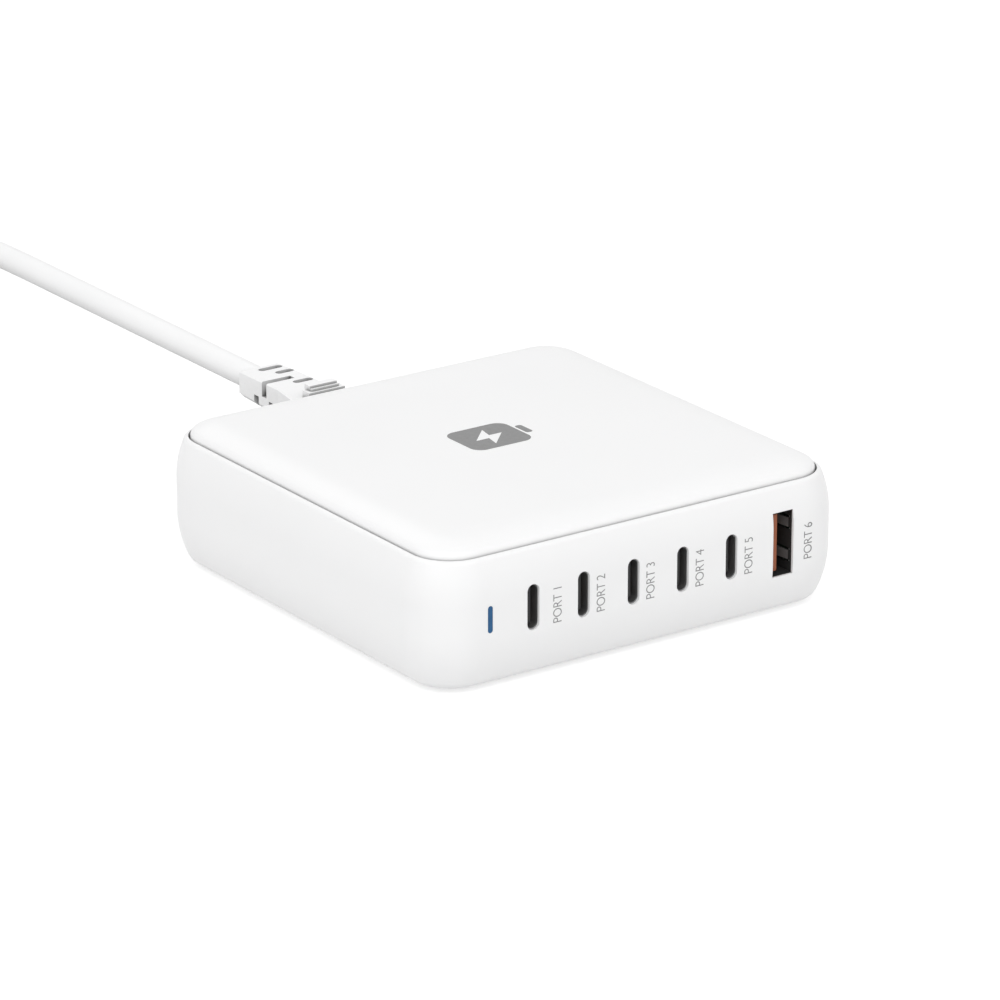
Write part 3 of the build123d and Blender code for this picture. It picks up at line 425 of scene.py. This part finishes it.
def make_label(number, x):
    """One plain label, set upright beside its port."""
    text = bpy.data.curves.new(f"port_label_{number}", "FONT")
    text.body = f"PORT {number}"
    text.align_x = "CENTER"
    text.align_y = "CENTER"
    text.size = LABEL_FONT_SIZE * MM
    text.space_character = LABEL_SPACING
    text.offset = LABEL_THIN * MM
    text.extrude = PRINT_RISE * MM
    label = bpy.data.objects.new(f"port_label_{number}", text)
    scene.collection.objects.link(label)
    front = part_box("housing")[0][1]
    upward = Matrix(((0, -1, 0), (0, 0, -1), (1, 0, 0))).to_4x4()
    squeeze = Matrix.Scale(LABEL_SQUEEZE, 4, (1, 0, 0))
    label.matrix_world = Matrix.Translation((x * MM, front, LABEL_LEVEL * MM)) @ upward @ squeeze
    text.materials.append(materials["print_grey"])
    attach(label, "root")


port_nodes = [f"usb_c_shell_{number}" for number in range(1, 6)] + ["usb_a_shell"]
for number, (port, offset) in enumerate(zip(port_nodes, (*USB_C_OFFSETS, USB_A_OFFSET)), start=1):
    make_label(number, box_middle(port).x + offset)


# Printed charging sign in the middle of the lid: a battery with a bolt left open in it
SIGN_PLACE = (-1.6, 1.3)
BATTERY_LENGTH = 13.4
BATTERY_WIDTH = 11.6
BATTERY_CORNER = 2.4
NUB_LENGTH = 1.5
NUB_WIDTH = 4.4
NUB_CORNER = 0.6
NUB_GAP = 0.5
CORNER_STEPS = 8
BOLT = ((1.1, 3.9), (-3.4, -0.7), (-0.5, -0.7), (-1.1, -3.9), (3.4, 0.7), (0.5, 0.7))


def rounded_rectangle(middle_x, length, width, corner):
    """The outline of a rectangle with round corners, going round once."""
    points = []
    for quarter, (side_x, side_y) in enumerate(((1, 1), (-1, 1), (-1, -1), (1, -1))):
        for step in range(CORNER_STEPS + 1):
            angle = math.radians(90.0 * (quarter + step / CORNER_STEPS))
            x = middle_x + side_x * (length / 2 - corner) + corner * math.cos(angle)
            y = side_y * (width / 2 - corner) + corner * math.sin(angle)
            points.append((x, y))
    return points


def make_sign():
    """The sign as one filled flat curve on the lid."""
    curve = bpy.data.curves.new("lid_sign", "CURVE")
    curve.dimensions = "2D"
    curve.fill_mode = "BOTH"
    curve.extrude = PRINT_RISE * MM
    nub_x = BATTERY_LENGTH / 2 + NUB_GAP + NUB_LENGTH / 2
    outlines = (
        rounded_rectangle(0.0, BATTERY_LENGTH, BATTERY_WIDTH, BATTERY_CORNER),
        rounded_rectangle(nub_x, NUB_LENGTH, NUB_WIDTH, NUB_CORNER),
        BOLT,
    )
    for outline in outlines:
        spline = curve.splines.new("POLY")
        spline.points.add(len(outline) - 1)
        for place, (x, y) in zip(spline.points, outline):
            place.co = (x * MM, y * MM, 0.0, 1.0)
        spline.use_cyclic_u = True
    sign = bpy.data.objects.new("lid_sign", curve)
    scene.collection.objects.link(sign)
    sign.location = (SIGN_PLACE[0] * MM, SIGN_PLACE[1] * MM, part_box("top_cover")[1][2])
    curve.materials.append(materials["print_grey"])
    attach(sign, "root")


make_sign()


# Stage: a pale floor that keeps the shadow, and a white surround
FLOOR_SIZE = 6.0
FLOOR_BOUNCE = 0.8
FLOOR_SHOWN = 0.45
FLOOR_LIFT = 0.7
AMBIENT = 0.69
LAMP_DISTANCE = 1.6


def seen_directly(tree):
    """One for rays from the camera, from gloss and through glass, and nought for soft light."""
    path = tree.nodes.new("ShaderNodeLightPath")
    first = tree.nodes.new("ShaderNodeMath")
    first.operation = "MAXIMUM"
    second = tree.nodes.new("ShaderNodeMath")
    second.operation = "MAXIMUM"
    tree.links.new(path.outputs["Is Camera Ray"], first.inputs[0])
    tree.links.new(path.outputs["Is Glossy Ray"], first.inputs[1])
    tree.links.new(first.outputs["Value"], second.inputs[0])
    tree.links.new(path.outputs["Is Transmission Ray"], second.inputs[1])
    return second.outputs["Value"]


def make_floor():
    """A large plain floor at table level."""
    mesh = bpy.data.meshes.new("floor")
    half = FLOOR_SIZE / 2
    corners = [(-half, -half, 0), (half, -half, 0), (half, half, 0), (-half, half, 0)]
    mesh.from_pydata(corners, [], [(0, 1, 2, 3)])
    floor = bpy.data.objects.new("floor", mesh)
    scene.collection.objects.link(floor)
    material = bpy.data.materials.new("floor")
    material.use_nodes = True
    tree = material.node_tree
    tree.nodes.remove(tree.nodes["Principled BSDF"])
    bounce = tree.nodes.new("ShaderNodeBsdfDiffuse")
    bounce.inputs["Color"].default_value = (FLOOR_BOUNCE, FLOOR_BOUNCE, FLOOR_BOUNCE, 1.0)
    shown = tree.nodes.new("ShaderNodeBsdfDiffuse")
    shown.inputs["Color"].default_value = (FLOOR_SHOWN, FLOOR_SHOWN, FLOOR_SHOWN, 1.0)
    lift = tree.nodes.new("ShaderNodeEmission")
    lift.inputs["Strength"].default_value = FLOOR_LIFT
    both = tree.nodes.new("ShaderNodeAddShader")
    mix = tree.nodes.new("ShaderNodeMixShader")
    tree.links.new(shown.outputs["BSDF"], both.inputs[0])
    tree.links.new(lift.outputs["Emission"], both.inputs[1])
    tree.links.new(seen_directly(tree), mix.inputs["Fac"])
    tree.links.new(bounce.outputs["BSDF"], mix.inputs[1])
    tree.links.new(both.outputs["Shader"], mix.inputs[2])
    tree.links.new(mix.outputs["Shader"], tree.nodes["Material Output"].inputs["Surface"])
    mesh.materials.append(material)


def make_world():
    """White where it is seen, and a plain soft light everywhere else."""
    world = bpy.data.worlds.new("studio")
    scene.world = world
    world.use_nodes = True
    tree = world.node_tree
    soft = tree.nodes["Background"]
    soft.inputs["Color"].default_value = (1.0, 1.0, 1.0, 1.0)
    soft.inputs["Strength"].default_value = AMBIENT
    white = tree.nodes.new("ShaderNodeBackground")
    white.inputs["Color"].default_value = (1.0, 1.0, 1.0, 1.0)
    white.inputs["Strength"].default_value = 1.0
    mix = tree.nodes.new("ShaderNodeMixShader")
    tree.links.new(seen_directly(tree), mix.inputs["Fac"])
    tree.links.new(soft.outputs["Background"], mix.inputs[1])
    tree.links.new(white.outputs["Background"], mix.inputs[2])
    tree.links.new(mix.outputs["Shader"], tree.nodes["World Output"].inputs["Surface"])


def make_lamp(name, azimuth, elevation, size, power):
    """A square soft light aimed at the middle of the case."""
    data = bpy.data.lights.new(name, "AREA")
    data.size = size
    data.energy = power
    lamp = bpy.data.objects.new(name, data)
    scene.collection.objects.link(lamp)
    away = direction(math.radians(azimuth), math.radians(elevation))
    lamp.location = CAMERA_TARGET + away * LAMP_DISTANCE
    lamp.rotation_euler = away.to_track_quat("Z", "Y").to_euler()


make_floor()
make_world()
make_lamp("key_light", azimuth=-45.0, elevation=48.0, size=1.2, power=6.3)
make_lamp("left_light", azimuth=-80.0, elevation=35.0, size=1.0, power=2.9)
make_lamp("right_light", azimuth=14.0, elevation=43.0, size=1.0, power=3.4)
make_lamp("back_light", azimuth=166.0, elevation=38.0, size=0.5, power=0.7)
